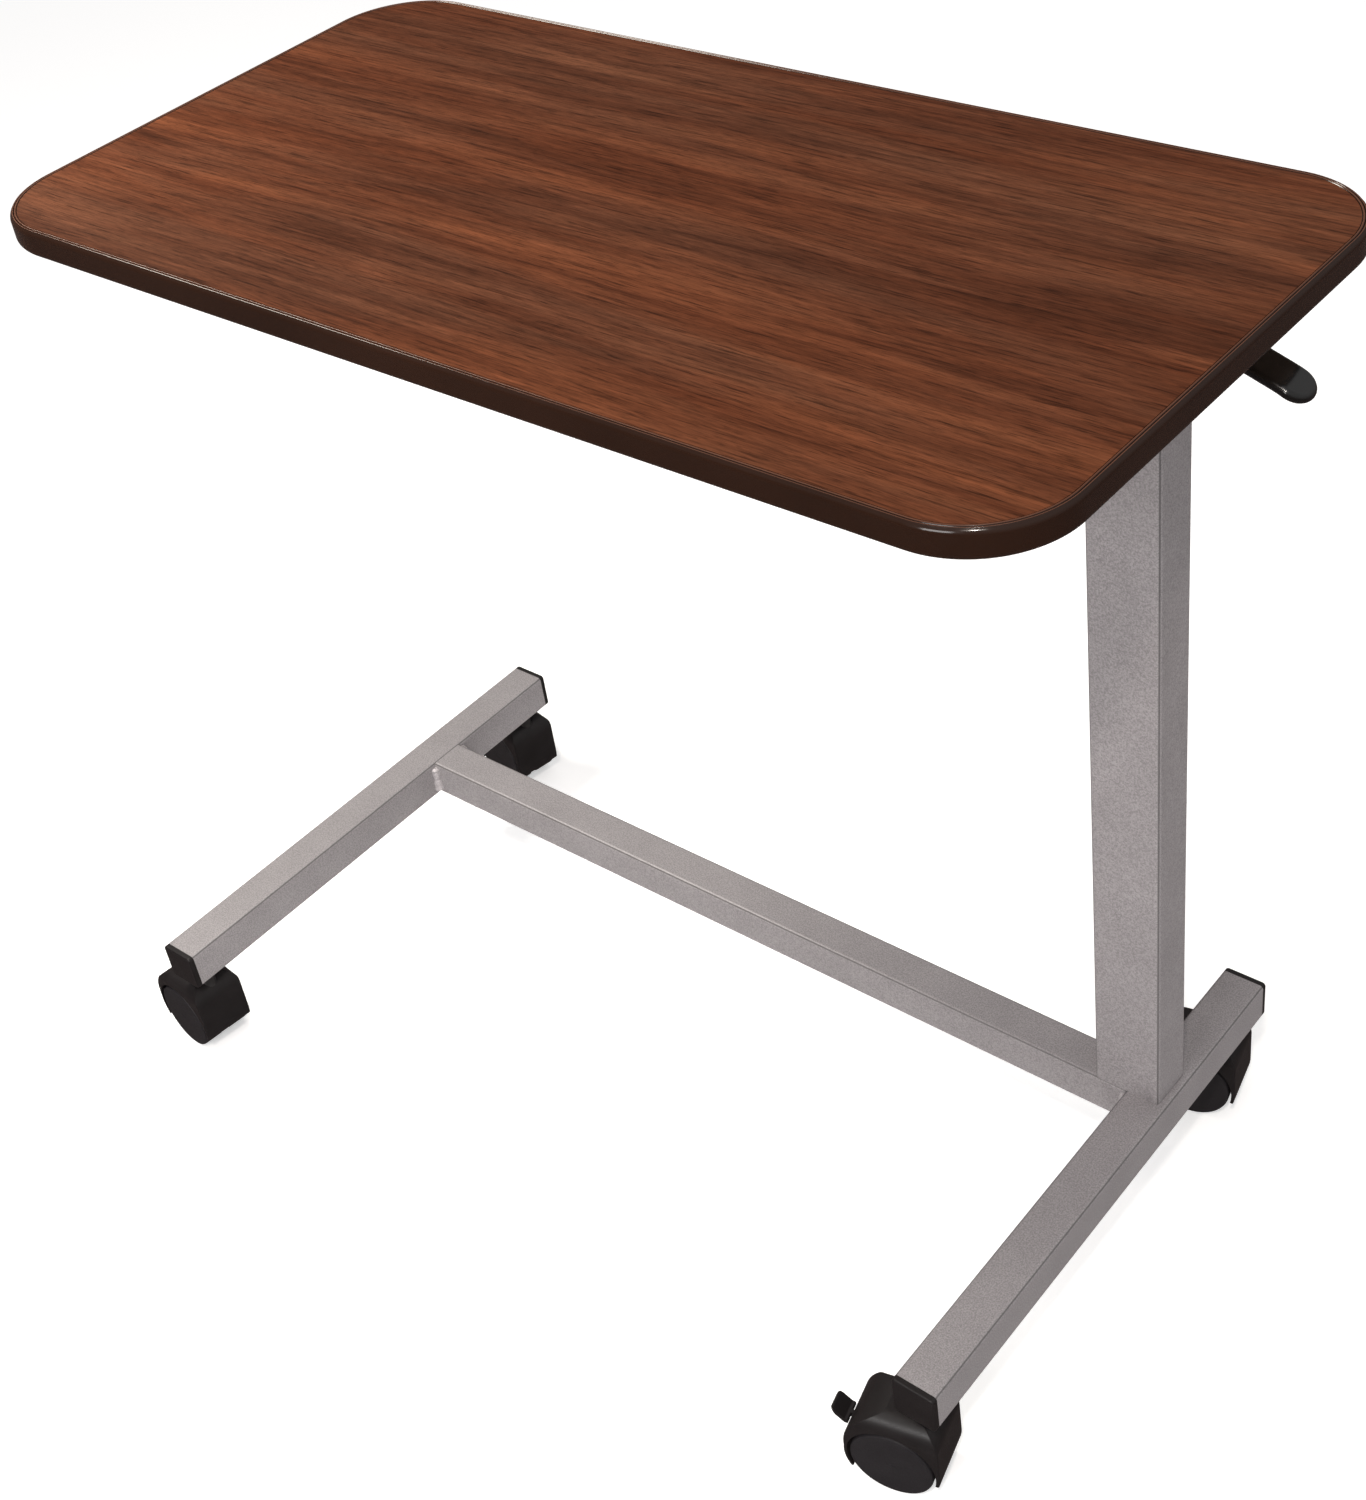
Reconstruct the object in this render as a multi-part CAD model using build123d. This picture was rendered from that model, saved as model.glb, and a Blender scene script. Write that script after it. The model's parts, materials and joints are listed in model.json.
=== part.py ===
from build123d import *
import math
import os

os.makedirs("parts", exist_ok=True)

# Overbed table at its lowest height. Millimetres, +Z up.
# Origin on the floor at the middle of the whole outline; +X along the top towards the mast's end.

# Driving dimensions -----------------------------------------------------------
TOP_LENGTH = 762.0
TOP_DEPTH = 381.0
TOP_X = 52.0
TOP_CORNER = 60.0
TOP_RIM_Z = 767.0
TOP_THICKNESS = 18.0
LAMINATE = 0.8
LAMINATE_DROP = 0.4

TUBE = 32.0
TUBE_WALL = 2.0
TUBE_CORNER = 3.0
FOOT_BOTTOM = 85.0
FOOT_TOP = FOOT_BOTTOM + TUBE
FOOT_TUBE_LENGTH = 416.0
FOOT_RIGHT_X = 344.0
FOOT_LEFT_X = -372.0

MAST_X = 329.0
MAST_Y = 88.0
MAST_W = 50.0
MAST_D = 36.0
MAST_WALL = 2.0
MAST_TOP = 697.0
CROSS_Y = MAST_Y - MAST_D / 2 + TUBE / 2

INNER_W = 41.0
INNER_D = 27.0
INNER_WALL = 1.6
INNER_BOTTOM = 124.3
INNER_TOP = 735.0

# Edge band and top -------------------------------------------------------------
BAND_WIDTH = 5.0
BAND_NOSE = 4.0
GROOVE_OUT = 2.7
GROOVE_IN = 3.4
GROOVE_DEPTH = 0.6
BARB_LENGTH = 8.0
BARB_THICKNESS = 2.0
BARB_GAP = 0.1

# Frame under the top -----------------------------------------------------------
CHANNEL_SHEET = 2.0
CHANNEL_WIDTH = 60.0
CHANNEL_DEPTH = 32.0
CHANNEL_FLANGE = 18.0
CHANNEL_LEFT = -248.0
CHANNEL_RIGHT = 364.0
ARM_WIDTH = 40.0
ARM_THICKNESS = 4.0
ARM_NEAR_Y = -150.0
ARM_X = (-148.0, 232.0)
SCREW_SHANK = 1.8
SCREW_HEAD = 4.2
SCREW_HEAD_HEIGHT = 2.4
SCREW_GRIP = 13.0
SCREW_CLEAR = 2.3
SCREW_FIT = 0.02
FLANGE_SCREW_X = (-228.0, -38.0, 142.0, 342.0)
ARM_SCREW_Y = (-130.0, 10.0)

# Gas spring --------------------------------------------------------------------
PLATE_THICKNESS = 4.0
CYL_R = 11.0
CYL_BORE = 9.0
CYL_FLOOR = 8.0
CYL_TOP = 571.0
SPIGOT_R = 4.0
GLAND_LENGTH = 15.0
GLAND_FLANGE = 3.0
ROD_R = 5.0
ROD_BORE = 1.56
ROD_BORE_DEPTH = 120.0
ROD_BOTTOM = 135.0
ROD_TOP = 714.0
PISTON_R = 8.95
PISTON_LENGTH = 14.0
ROD_PLATE_Z = 699.0
ROD_PLATE_THICKNESS = 6.0
NUT_FLATS = 16.0
NUT_HEIGHT = 7.0
RUN = 0.05

# Lever ---------------------------------------------------------------------------
PIVOT_X = 360.0
PIVOT_Z = 724.0
LEVER_SHEET = 3.2
LEVER_ARM_WIDTH = 10.0
LEVER_WIDTH = 22.0
LEVER_SLOPE = 19.5
LEVER_TIP_SLOPE = 28.0
LEVER_RUN = 64.0
LEVER_TIP_RUN = 13.0
LEVER_INNER_X = 322.0
BARREL_R = 4.2
BARREL_HALF = 13.0
LEVER_PIN_R = 2.5
EAR_SHEET = 2.0
EAR_GAP = 0.5
GRIP_SKIN = 1.6
GRIP_START = 18.0
GRIP_ROUND = 1.2
VALVE_PIN_R = 1.5
VALVE_PIN_LENGTH = 110.0
VALVE_PIN_GAP = 0.3

# Casters -------------------------------------------------------------------------
WHEEL_R = 29.0
WHEEL_IN = 3.5
WHEEL_OUT = 22.0
AXLE_R = 3.0
AXLE_HALF = 18.5
TRAIL = 24.0
CASTER_INSET = 15.0
SWIVEL = {"right_near": 14.0, "right_far": 12.0, "left_near": -6.0, "left_far": -10.0}
HOOD_R = 33.5
HOOD_INNER = 31.0
HOOD_HALF = 21.4
HOOD_TOP = 43.0
HOOD_SHOULDER = 13.0
HOOD_NOSE = 16.0
HOOD_RIM = 1.4
HOOD_BACK = 172.0
HOOD_SWELL = (-34.0, 34.0)
ROOF_BACK = -5.0
WEB_HALF = 3.1
HUB_R = 8.0
RECESS_IN = 9.0
RECESS_OUT = 23.0
RECESS_DEPTH = 7.0
STEM_R = 5.5
STEM_FIT = 0.06
STEM_TOP = 107.0
STEM_SEAT = 31.5
SOCKET_R = 7.5
SOCKET_FLANGE_R = 10.5
SOCKET_FLANGE = 1.3
SOCKET_TOP = 111.0
TAIL_FRONT = -14.0
TAIL_REAR = 208.0

# Brake pedal, relative to the axle -----------------------------------------------
BRAKE_PIVOT = (-15.9, 6.1)
BRAKE_BAR = (-12.68, 14.51)
BRAKE_BAR_R = 1.5
BRAKE_BAR_HALF = 8.0
BRAKE_HALF = 1.5
BRAKE_SLOT = 1.8
BRAKE_PIN_R = 1.5
BRAKE_BOSS_R = 5.0
PEDAL_HALF = 7.5
PEDAL_EDGE = 0.9
PEDAL_PLAN = 23.2
PEDAL_CORNER = 4.5
PEDAL_END = -47.7


def save(name, shape):
    export_step(shape, "parts/" + name + ".step")


def rounded_block(w, d, r, z0, z1, x=0.0, y=0.0):
    return Pos(x, y, z0) * extrude(RectangleRounded(w, d, r), z1 - z0)


def box(x0, x1, y0, y1, z0, z1):
    return Pos((x0 + x1) / 2, (y0 + y1) / 2, (z0 + z1) / 2) * Box(x1 - x0, y1 - y0, z1 - z0)


def upright(r, z0, z1, x=0.0, y=0.0):
    return Pos(x, y, (z0 + z1) / 2) * Cylinder(r, z1 - z0)


def along_y(r, y0, y1, x=0.0, z=0.0):
    return Pos(x, (y0 + y1) / 2, z) * Rot(90, 0, 0) * Cylinder(r, y1 - y0)


def plate_xz(sketch, half, y=0.0):
    """A sketch drawn in X and Z, made solid for `half` on both sides of y."""
    return Pos(0, y, 0) * extrude(Plane.XZ * sketch, half, both=True)


def polygon(points):
    return make_face(Polyline(*points, close=True))


# Top: core, laminate, backing and moulded edge -----------------------------------
top_under = TOP_RIM_Z - TOP_THICKNESS
laminate_top = TOP_RIM_Z - LAMINATE_DROP
laminate_under = laminate_top - LAMINATE
core_under = top_under + LAMINATE
barb_z = (top_under + TOP_RIM_Z - BARB_THICKNESS) / 2


def top_slab(inset, z0, z1):
    return rounded_block(TOP_LENGTH - 2 * inset, TOP_DEPTH - 2 * inset, TOP_CORNER - inset, z0, z1, TOP_X)


screw_spots = []
for sx in FLANGE_SCREW_X:
    for side in (-1, 1):
        screw_y = MAST_Y + side * (CHANNEL_WIDTH + CHANNEL_FLANGE) / 2
        screw_spots.append((sx, screw_y, top_under - CHANNEL_SHEET))
for sx in ARM_X:
    for sy in ARM_SCREW_Y:
        screw_spots.append((sx, sy, top_under - ARM_THICKNESS))

core = top_slab(BAND_WIDTH, core_under, laminate_under)
barb_slot = top_slab(BAND_WIDTH, barb_z - BARB_GAP, barb_z + BARB_THICKNESS + BARB_GAP)
barb_slot -= top_slab(BAND_WIDTH + BARB_LENGTH + BARB_GAP, barb_z - 1, barb_z + BARB_THICKNESS + 1)
core -= barb_slot
backing = top_slab(BAND_WIDTH, top_under, core_under)
for sx, sy, sz in screw_spots:
    pilot = upright(SCREW_SHANK + SCREW_FIT, top_under - 1, top_under + SCREW_GRIP + 1, sx, sy)
    core -= pilot
    backing -= pilot
save("table_core", core)
save("table_backing", backing)
save("table_laminate", top_slab(BAND_WIDTH, laminate_under, laminate_top))

band = top_slab(0, top_under, TOP_RIM_Z)
nose_edges = band.edges().group_by(Axis.Z)[0] + band.edges().group_by(Axis.Z)[-1]
band = fillet(nose_edges, BAND_NOSE)
band -= top_slab(BAND_WIDTH, top_under - 1, TOP_RIM_Z + 1)
groove = top_slab(GROOVE_OUT, TOP_RIM_Z - GROOVE_DEPTH, TOP_RIM_Z + 1)
groove -= top_slab(GROOVE_IN, TOP_RIM_Z - GROOVE_DEPTH - 1, TOP_RIM_Z + 2)
band -= groove
barb = top_slab(BAND_WIDTH - 1, barb_z, barb_z + BARB_THICKNESS)
barb -= top_slab(BAND_WIDTH + BARB_LENGTH, barb_z - 1, barb_z + BARB_THICKNESS + 1)
band += barb
save("edge_band", band)

# Frame under the top ----------------------------------------------------------------
web_z = top_under - CHANNEL_DEPTH
half_w = CHANNEL_WIDTH / 2
half_all = half_w + CHANNEL_FLANGE
channel = box(CHANNEL_LEFT, CHANNEL_RIGHT, -half_all, half_all, top_under - CHANNEL_SHEET, top_under)
channel += box(CHANNEL_LEFT, CHANNEL_RIGHT, -half_w, half_w, web_z, top_under)
channel -= box(
    CHANNEL_LEFT - 1,
    CHANNEL_RIGHT + 1,
    -half_w + CHANNEL_SHEET,
    half_w - CHANNEL_SHEET,
    web_z + CHANNEL_SHEET,
    top_under + 1,
)
channel = Pos(0, MAST_Y, 0) * channel
channel -= rounded_block(INNER_W, INNER_D, TUBE_CORNER - 0.5, web_z - 1, web_z + 5, MAST_X, MAST_Y)
arms = []
for ax in ARM_X:
    far_y = MAST_Y - half_all
    arms.append(
        box(ax - ARM_WIDTH / 2, ax + ARM_WIDTH / 2, ARM_NEAR_Y, far_y, top_under - ARM_THICKNESS, top_under)
    )
screws = []
for sx, sy, sz in screw_spots:
    hole = upright(SCREW_CLEAR, sz - 1, top_under + 1, sx, sy)
    channel -= hole
    arms = [arm - hole for arm in arms]
    screw = upright(SCREW_SHANK, sz - 0.2, top_under + SCREW_GRIP, sx, sy)
    head = upright(SCREW_HEAD, sz - SCREW_HEAD_HEIGHT, sz, sx, sy)
    head = fillet(head.edges().sort_by(Axis.Z)[0], 1.2)
    head -= box(sx - 0.5, sx + 0.5, sy - 2.4, sy + 2.4, sz - SCREW_HEAD_HEIGHT - 1, sz - 1.2)
    head -= box(sx - 2.4, sx + 2.4, sy - 0.5, sy + 0.5, sz - SCREW_HEAD_HEIGHT - 1, sz - 1.2)
    screws.append(screw + head)
save("support_channel", channel)
save("cross_arms", Compound(children=arms))
save("frame_screws", Compound(children=screws))

# Inner mast, its guide, and the plate that carries the rod --------------------------
inner_in_w = INNER_W - 2 * INNER_WALL
inner_in_d = INNER_D - 2 * INNER_WALL
inner_corner = TUBE_CORNER - 0.5
inner = rounded_block(INNER_W, INNER_D, inner_corner, INNER_BOTTOM, INNER_TOP, MAST_X, MAST_Y)
inner -= rounded_block(
    inner_in_w, inner_in_d, inner_corner - INNER_WALL, INNER_BOTTOM - 1, INNER_TOP + 1, MAST_X, MAST_Y
)
slot_half = LEVER_ARM_WIDTH / 2 + 1.5
lever_slot = box(
    MAST_X + INNER_W / 2 - 4, PIVOT_X - 4, MAST_Y - slot_half, MAST_Y + slot_half, PIVOT_Z - 4, PIVOT_Z + 4
)
inner -= lever_slot
save("mast_inner", inner)

mast_in_w = MAST_W - 2 * MAST_WALL
mast_in_d = MAST_D - 2 * MAST_WALL
mast_in_corner = TUBE_CORNER - MAST_WALL
glide_w = mast_in_w - 0.4
glide_d = mast_in_d - 0.4
glide = rounded_block(glide_w, glide_d, mast_in_corner, INNER_BOTTOM - 3, INNER_BOTTOM + 42, MAST_X, MAST_Y)
glide -= rounded_block(
    INNER_W, INNER_D, inner_corner, INNER_BOTTOM, INNER_BOTTOM + 43, MAST_X, MAST_Y
)
glide -= rounded_block(inner_in_w, 2 * CYL_R + 0.7, 1.0, INNER_BOTTOM - 4, INNER_BOTTOM + 1, MAST_X, MAST_Y)
save("lower_glide", glide)

rod_plate = rounded_block(
    inner_in_w, inner_in_d, 0.9, ROD_PLATE_Z, ROD_PLATE_Z + ROD_PLATE_THICKNESS, MAST_X, MAST_Y
)
rod_plate -= upright(ROD_R, ROD_PLATE_Z - 1, ROD_PLATE_Z + ROD_PLATE_THICKNESS + 1, MAST_X, MAST_Y)
save("rod_plate", rod_plate)

rod = upright(ROD_R, ROD_BOTTOM, ROD_TOP, MAST_X, MAST_Y)
rod += upright(PISTON_R, ROD_BOTTOM, ROD_BOTTOM + PISTON_LENGTH, MAST_X, MAST_Y)
rod -= upright(ROD_BORE, ROD_TOP - ROD_BORE_DEPTH, ROD_TOP + 1, MAST_X, MAST_Y)
save("gas_rod", rod)

nut_z = ROD_PLATE_Z + ROD_PLATE_THICKNESS
nut = Pos(MAST_X, MAST_Y, nut_z) * extrude(RegularPolygon(NUT_FLATS / 2, 6, major_radius=False), NUT_HEIGHT)
nut -= upright(ROD_R, nut_z - 1, nut_z + NUT_HEIGHT + 1, MAST_X, MAST_Y)
save("rod_nut", nut)

pin_top = PIVOT_Z - LEVER_SHEET / 2 - VALVE_PIN_GAP
save("release_pin", upright(VALVE_PIN_R, pin_top - VALVE_PIN_LENGTH, pin_top, MAST_X, MAST_Y))

# Outer mast, its collar and the cylinder ---------------------------------------------
mast = rounded_block(MAST_W, MAST_D, TUBE_CORNER, FOOT_TOP, MAST_TOP, MAST_X, MAST_Y)
mast -= rounded_block(mast_in_w, mast_in_d, mast_in_corner, FOOT_TOP - 1, MAST_TOP + 1, MAST_X, MAST_Y)
save("mast_outer", mast)

collar = rounded_block(mast_in_w, mast_in_d, mast_in_corner, MAST_TOP - 30, MAST_TOP, MAST_X, MAST_Y)
flange = rounded_block(MAST_W + 2, MAST_D + 2, TUBE_CORNER + 1, MAST_TOP, MAST_TOP + 6, MAST_X, MAST_Y)
flange = fillet(flange.edges().group_by(Axis.Z)[-1], 2.0)
collar += flange
collar -= rounded_block(
    INNER_W + 0.4, INNER_D + 0.4, inner_corner, MAST_TOP - 31, MAST_TOP + 7, MAST_X, MAST_Y
)
save("mast_collar", collar)

plate_top = FOOT_TOP + PLATE_THICKNESS
cyl_plate = rounded_block(mast_in_w, mast_in_d, mast_in_corner, FOOT_TOP, plate_top, MAST_X, MAST_Y)
cyl_plate -= upright(SPIGOT_R, FOOT_TOP - 1, plate_top + 1, MAST_X, MAST_Y)
save("cylinder_plate", cyl_plate)

cylinder = upright(CYL_R, plate_top, CYL_TOP, MAST_X, MAST_Y)
cylinder -= upright(CYL_BORE, plate_top + CYL_FLOOR, CYL_TOP + 1, MAST_X, MAST_Y)
cylinder += upright(SPIGOT_R, FOOT_TOP, plate_top + 1, MAST_X, MAST_Y)
save("gas_cylinder", cylinder)

gland = upright(CYL_BORE, CYL_TOP - GLAND_LENGTH, CYL_TOP, MAST_X, MAST_Y)
gland += upright(CYL_R, CYL_TOP, CYL_TOP + GLAND_FLANGE, MAST_X, MAST_Y)
gland -= upright(ROD_R + RUN, CYL_TOP - GLAND_LENGTH - 1, CYL_TOP + GLAND_FLANGE + 1, MAST_X, MAST_Y)
save("gas_gland", gland)

# Lever, grip, pivot pin and bracket ---------------------------------------------------
slope = math.radians(LEVER_SLOPE)
tip_slope = math.radians(LEVER_TIP_SLOPE)
bend_x = PIVOT_X + LEVER_RUN * math.cos(slope)
bend_z = PIVOT_Z - LEVER_RUN * math.sin(slope)
tip_x = bend_x + LEVER_TIP_RUN * math.cos(tip_slope)
tip_z = bend_z - LEVER_TIP_RUN * math.sin(tip_slope)


def lever_strip(half_thick, start_run, width, end_extra):
    """The bent handle as a strip of given half thickness, from start_run along the slope."""
    sx = PIVOT_X + start_run * math.cos(slope)
    sz = PIVOT_Z - start_run * math.sin(slope)
    ex = tip_x + end_extra * math.cos(tip_slope)
    ez = tip_z - end_extra * math.sin(tip_slope)
    mid = (slope + tip_slope) / 2
    n0 = (math.sin(slope) * half_thick, math.cos(slope) * half_thick)
    miter = half_thick / math.cos((tip_slope - slope) / 2)
    n1 = (math.sin(mid) * miter, math.cos(mid) * miter)
    n2 = (math.sin(tip_slope) * half_thick, math.cos(tip_slope) * half_thick)
    side = polygon(
        [
            (sx + n0[0], sz + n0[1]),
            (bend_x + n1[0], bend_z + n1[1]),
            (ex + n2[0], ez + n2[1]),
            (ex - n2[0], ez - n2[1]),
            (bend_x - n1[0], bend_z - n1[1]),
            (sx - n0[0], sz - n0[1]),
        ]
    )
    strip = plate_xz(side, width / 2)
    reach = ex - sx
    plan = Pos(ex - reach, 0, PIVOT_Z) * extrude(
        RectangleRounded(2 * reach, width, width / 2 - 0.3), 2 * reach, both=True
    )
    return strip & plan


arm_side = polygon(
    [
        (LEVER_INNER_X, PIVOT_Z - LEVER_SHEET / 2),
        (PIVOT_X, PIVOT_Z - LEVER_SHEET / 2),
        (PIVOT_X, PIVOT_Z + LEVER_SHEET / 2),
        (LEVER_INNER_X, PIVOT_Z + LEVER_SHEET / 2),
    ]
)
lever = plate_xz(arm_side, LEVER_ARM_WIDTH / 2)
lever += along_y(BARREL_R, -BARREL_HALF, BARREL_HALF, PIVOT_X, PIVOT_Z)
lever += lever_strip(LEVER_SHEET / 2, 0.0, LEVER_WIDTH, 0.0)
lever -= along_y(LEVER_PIN_R + RUN, -BARREL_HALF - 1, BARREL_HALF + 1, PIVOT_X, PIVOT_Z)
grip = lever_strip(LEVER_SHEET / 2 + GRIP_SKIN, GRIP_START, LEVER_WIDTH + 2 * GRIP_SKIN, GRIP_SKIN)
grip = fillet(grip.edges().filter_by(lambda e: e.length > 8), GRIP_ROUND)
grip -= lever
save("release_lever", Pos(0, MAST_Y, 0) * lever)
save("lever_grip", Pos(0, MAST_Y, 0) * grip)

ear_in = BARREL_HALF + EAR_GAP
ear_out = ear_in + EAR_SHEET
back_x = MAST_X + INNER_W / 2
ear_low = web_z + CHANNEL_SHEET
ear_high = PIVOT_Z + 9
ear_right = CHANNEL_RIGHT + 2
bracket = box(back_x, ear_right, -ear_out, ear_out, ear_low, ear_high)
bracket -= box(back_x + EAR_SHEET, ear_right + 1, -ear_in, ear_in, ear_low - 1, ear_high + 1)
bracket -= Pos(0, -MAST_Y, 0) * lever_slot
bracket -= along_y(LEVER_PIN_R, -ear_out - 1, ear_out + 1, PIVOT_X, PIVOT_Z)
save("lever_bracket", Pos(0, MAST_Y, 0) * bracket)

lever_pin = along_y(LEVER_PIN_R, -ear_out - 2, ear_out, PIVOT_X, PIVOT_Z)
lever_pin += along_y(LEVER_PIN_R + 1.3, ear_out, ear_out + 1.8, PIVOT_X, PIVOT_Z)
lever_pin += along_y(LEVER_PIN_R + 1.3, -ear_out - 1.8, -ear_out, PIVOT_X, PIVOT_Z)
save("lever_pin", Pos(0, MAST_Y, 0) * lever_pin)

# Feet and cross tube ---------------------------------------------------------------------
half_foot = FOOT_TUBE_LENGTH / 2
swivel_y = half_foot - CASTER_INSET
tube_face = RectangleRounded(TUBE, TUBE, TUBE_CORNER)
tube_face -= RectangleRounded(TUBE - 2 * TUBE_WALL, TUBE - 2 * TUBE_WALL, TUBE_CORNER - TUBE_WALL)
foot_mid_z = FOOT_BOTTOM + TUBE / 2
sockets = []
for name, fx in (("foot_right", FOOT_RIGHT_X), ("foot_left", FOOT_LEFT_X)):
    foot = Pos(fx, 0, foot_mid_z) * extrude(Plane.XZ * tube_face, half_foot, both=True)
    for sy in (-swivel_y, swivel_y):
        foot -= upright(SOCKET_R, FOOT_BOTTOM - 1, FOOT_BOTTOM + 5, fx, sy)
        socket = upright(SOCKET_R, FOOT_BOTTOM, SOCKET_TOP, fx, sy)
        socket += upright(SOCKET_FLANGE_R, FOOT_BOTTOM - SOCKET_FLANGE, FOOT_BOTTOM, fx, sy)
        socket -= upright(STEM_R + STEM_FIT, FOOT_BOTTOM - 3, STEM_TOP + 1, fx, sy)
        sockets.append(socket)
    save(name, foot)
save("stem_sockets", Compound(children=sockets))

cross_left = FOOT_LEFT_X + TUBE / 2
cross_right = FOOT_RIGHT_X - TUBE / 2
cross = Pos(cross_left, CROSS_Y, foot_mid_z) * extrude(Plane.YZ * tube_face, cross_right - cross_left)
save("cross_tube", cross)

# End caps: flange outside, hollow ribbed plug inside ----------------------------------------
CAP_FLANGE = 4.5
PLUG_LENGTH = 6.5
PLUG_WALL = 2.0
RIB_HEIGHT = 0.5
RIB_LENGTH = 0.8
plug_w = TUBE - 2 * TUBE_WALL - 2 * RIB_HEIGHT


def end_cap():
    """Cap with its flange's inner face at y = 0, plug towards +Y."""
    flange_face = extrude(Plane.XZ * RectangleRounded(TUBE, TUBE, TUBE_CORNER), CAP_FLANGE)
    outer_edges = flange_face.edges().group_by(Axis.Y)[0]
    cap = fillet(outer_edges, 1.2)
    plug = extrude(Plane.XZ * RectangleRounded(plug_w, plug_w, 1.0), -PLUG_LENGTH)
    rib_w = plug_w + 2 * RIB_HEIGHT
    for k in (2.0, 4.5):
        plug += Pos(0, k, 0) * extrude(Plane.XZ * RectangleRounded(rib_w, rib_w, 1.0), -RIB_LENGTH)
    hollow = plug_w - 2 * PLUG_WALL
    plug -= extrude(Plane.XZ * Rectangle(hollow, hollow), -PLUG_LENGTH - 1)
    return cap + plug


near_cap = end_cap()
far_cap = Rot(0, 0, 180) * near_cap
for side, fx in (("right", FOOT_RIGHT_X), ("left", FOOT_LEFT_X)):
    save("cap_" + side + "_near", Pos(fx, -half_foot, foot_mid_z) * near_cap)
    save("cap_" + side + "_far", Pos(fx, half_foot, foot_mid_z) * far_cap)

# Weld beads ------------------------------------------------------------------------------------
WELD_LEG = 5.0
WELD_TRIM = 3.5


def upright_weld(x, y, dx, dy):
    """Fillet bead in a vertical corner at (x, y), towards dx and dy."""
    face = polygon([(x, y), (x + dx * WELD_LEG, y), (x, y + dy * WELD_LEG)])
    height = TUBE - 2 * WELD_TRIM
    bead = Pos(0, 0, FOOT_BOTTOM + WELD_TRIM) * extrude(face, height)
    return bead


cross_near = CROSS_Y - TUBE / 2
cross_far = CROSS_Y + TUBE / 2
beads = [
    upright_weld(cross_left, cross_near, 1, -1),
    upright_weld(cross_left, cross_far, 1, 1),
    upright_weld(cross_right, cross_near, -1, -1),
    upright_weld(cross_right, cross_far, -1, 1),
]
mast_far = MAST_Y + MAST_D / 2
bead_left = cross_right + TUBE_CORNER
bead_right = MAST_X + MAST_W / 2 - WELD_TRIM
foot_face = polygon([(mast_far, FOOT_TOP), (mast_far + WELD_LEG, FOOT_TOP), (mast_far, FOOT_TOP + WELD_LEG)])
beads.append(Pos(bead_left, 0, 0) * extrude(Plane.YZ * foot_face, bead_right - bead_left))
save("weld_beads", Compound(children=beads))

# Casters -----------------------------------------------------------------------------------------


def caster_hood(braked):
    """Hood about the axle centre: arch shell under a rounded roof, stem seat and centre web."""
    back = math.radians(HOOD_BACK)
    back_point = (HOOD_R * math.cos(back), HOOD_R * math.sin(back))
    roof_point = (ROOF_BACK, HOOD_TOP)
    crown = make_face(
        [
            Bezier(back_point, HOOD_SWELL, roof_point),
            Line(roof_point, (HOOD_R, HOOD_TOP)),
            Line((HOOD_R, HOOD_TOP), (HOOD_R, 0)),
            Line((HOOD_R, 0), (0, 0)),
            Line((0, 0), back_point),
        ]
    )
    crown = fillet(crown.vertices().sort_by(lambda v: v.X + v.Y)[-1], HOOD_NOSE)
    shell = plate_xz(Circle(HOOD_R) + crown, HOOD_HALF)
    rims = shell.edges().filter_by(lambda e: abs(abs(e.center().Y) - HOOD_HALF) < 0.01)
    shell = fillet(rims, HOOD_RIM)
    roof = Pos(0, HOOD_TOP - 60) * Rectangle(2 * HOOD_HALF, 120)
    roof = fillet(roof.vertices().group_by(Axis.Y)[-1], HOOD_SHOULDER)
    shell &= extrude(Plane.YZ * roof, 80, both=True)
    shell -= along_y(HOOD_INNER, -30, 30)
    reach = 80
    front = math.radians(TAIL_FRONT)
    rear = math.radians(TAIL_REAR)
    shell -= plate_xz(
        polygon(
            [
                (0, 0),
                (reach * math.cos(front), reach * math.sin(front)),
                (reach, -reach),
                (-reach, -reach),
                (reach * math.cos(rear), reach * math.sin(rear)),
            ]
        ),
        30,
    )
    web = plate_xz(polygon([(-5, 5), (0, 32), (27, 17), (7, -3)]), WEB_HALF)
    web += along_y(HUB_R, -WEB_HALF, WEB_HALF)
    if braked:
        web += along_y(BRAKE_BOSS_R, -WEB_HALF, WEB_HALF, BRAKE_PIVOT[0], BRAKE_PIVOT[1])
        web += plate_xz(polygon([(-17.6, 10.8), (-2.5, 7.5), (-5.5, -5.5), (-14.2, 1.4)]), WEB_HALF)
        web -= box(-40, -9.5, -BRAKE_SLOT, BRAKE_SLOT, -20, 25)
        web -= along_y(BRAKE_PIN_R, -5, 5, BRAKE_PIVOT[0], BRAKE_PIVOT[1])
        shell -= box(-50, -20, -2.4, 2.4, 1.5, 15.5)
    hood = shell + web
    hood -= along_y(AXLE_R, -10, 10)
    hood -= upright(STEM_R, STEM_SEAT, HOOD_TOP + 1, TRAIL, 0)
    return hood


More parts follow.
